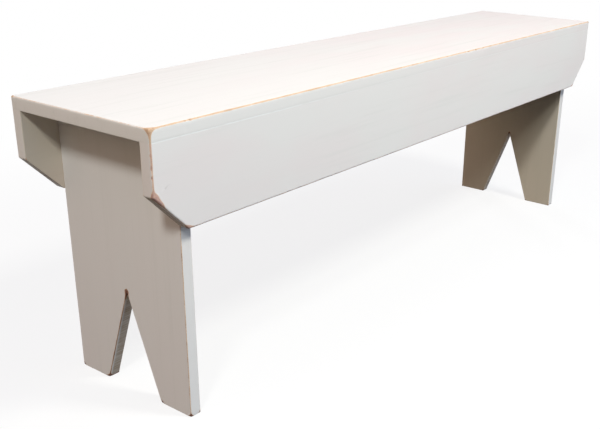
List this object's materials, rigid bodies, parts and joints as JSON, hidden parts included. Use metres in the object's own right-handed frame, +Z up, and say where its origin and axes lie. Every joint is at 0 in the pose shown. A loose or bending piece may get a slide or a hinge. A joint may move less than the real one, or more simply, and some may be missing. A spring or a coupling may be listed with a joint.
{
  "type": "wooden bench",
  "caption": "Long painted wooden bench with a wide seat board, clipped side aprons and plank legs with a tall V notch.",
  "frame": {"origin": "on the floor, under the middle of the seat", "axes": "+X along the bench towards its right end, +Y from the front apron to the rear apron, +Z up"},
  "size_m": [1.346, 0.286, 0.445],
  "materials": {
    "painted_wood": "matt off-white paint, sanded through to orange-brown wood along edges and corners",
    "nail_steel": "bright drawn wire",
    "wood_filler": "wood filler, sanded flush and painted over with the boards"
  },
  "bodies": {
    "root": {"seat_board": "painted_wood", "front_apron": "painted_wood", "rear_apron": "painted_wood", "left_leg": "painted_wood", "right_leg": "painted_wood", "seat_to_front_apron_nails": "nail_steel", "seat_to_rear_apron_nails": "nail_steel", "seat_to_left_leg_nails": "nail_steel", "seat_to_right_leg_nails": "nail_steel", "front_apron_to_left_leg_nails": "nail_steel", "rear_apron_to_left_leg_nails": "nail_steel", "front_apron_to_right_leg_nails": "nail_steel", "rear_apron_to_right_leg_nails": "nail_steel", "seat_nail_fillers": "wood_filler", "front_apron_nail_fillers": "wood_filler", "rear_apron_nail_fillers": "wood_filler"}
  },
  "joints": []
}
